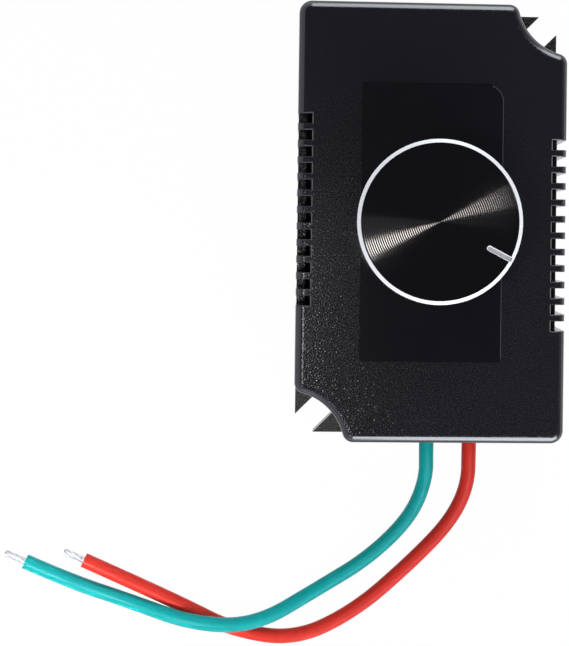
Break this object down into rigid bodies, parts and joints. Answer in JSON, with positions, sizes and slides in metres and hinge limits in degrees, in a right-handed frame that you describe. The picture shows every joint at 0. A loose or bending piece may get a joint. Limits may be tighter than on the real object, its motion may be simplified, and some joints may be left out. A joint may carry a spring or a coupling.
{
  "type": "fan speed control switch",
  "caption": "Rotary fan speed regulator: black vented cover with a large knob on a ribbed heat sink base with open corner ears and bare-ended leads.",
  "frame": {"origin": "centre of the heat sink base's underside", "axes": "+Z out of the front face towards the knob, +Y along the case away from the leads, +X to the reader's right"},
  "size_m": [0.1177, 0.1367, 0.0445],
  "materials": {
    "black_anodised": "matte black anodised extrusion, bare metal where it was cut",
    "cover_plastic": "black, fine spark-eroded texture with smoother rounded edges",
    "label_film": "smooth black film",
    "knob_aluminium": "black anodised, turned face with a bright cut rim and pointer",
    "core_plastic": "black moulded",
    "spindle_brass": "nickel plated",
    "contact_brass": "plain",
    "zinc_plated_steel": "bright zinc",
    "cast_zinc": "as cast",
    "phenolic": "brown laminate",
    "tinned_metal": "tinned",
    "board_laminate": "green solder mask on glass laminate",
    "capacitor_dip": "brown-red dipped coat",
    "resistor_coat": "beige lacquer",
    "diac_body": "blue glass bead",
    "green_pvc": "satin sleeve",
    "red_pvc": "satin sleeve",
    "tinned_strands": "twisted and tinned copper"
  },
  "bodies": {
    "case": {"heat_sink": "black_anodised", "cover": "cover_plastic", "face_label": "label_film", "pot_front": "cast_zinc", "pot_track": "phenolic", "pot_tags": "tinned_metal", "pot_can": "zinc_plated_steel", "pot_washer": "zinc_plated_steel", "pot_nut": "zinc_plated_steel", "standoffs": "contact_brass", "board_screws": "zinc_plated_steel", "cover_screws": "zinc_plated_steel", "circuit_board": "board_laminate", "film_capacitors": "capacitor_dip", "resistors": "resistor_coat", "diac": "diac_body", "triac_tab": "tinned_metal", "triac_body": "core_plastic", "triac_legs": "tinned_metal", "triac_screw": "zinc_plated_steel", "triac_washer": "zinc_plated_steel", "green_lead": "green_pvc", "green_lead_tip": "tinned_strands", "red_lead": "red_pvc", "red_lead_tip": "tinned_strands", "lead_solder_ends": "tinned_strands"},
    "knob": {"knob_cap": "knob_aluminium", "knob_core": "core_plastic", "pot_shaft": "spindle_brass", "pot_clip": "zinc_plated_steel", "pot_rotor": "core_plastic", "pot_wiper": "contact_brass"}
  },
  "joints": [
    {"name": "knob_turn", "type": "hinge", "parent": "case", "child": "knob", "pos_m": [0.00065, 0, 0.0236], "axis": [0, 0, 1], "range_deg": [-32.5, 267.5]}
  ]
}
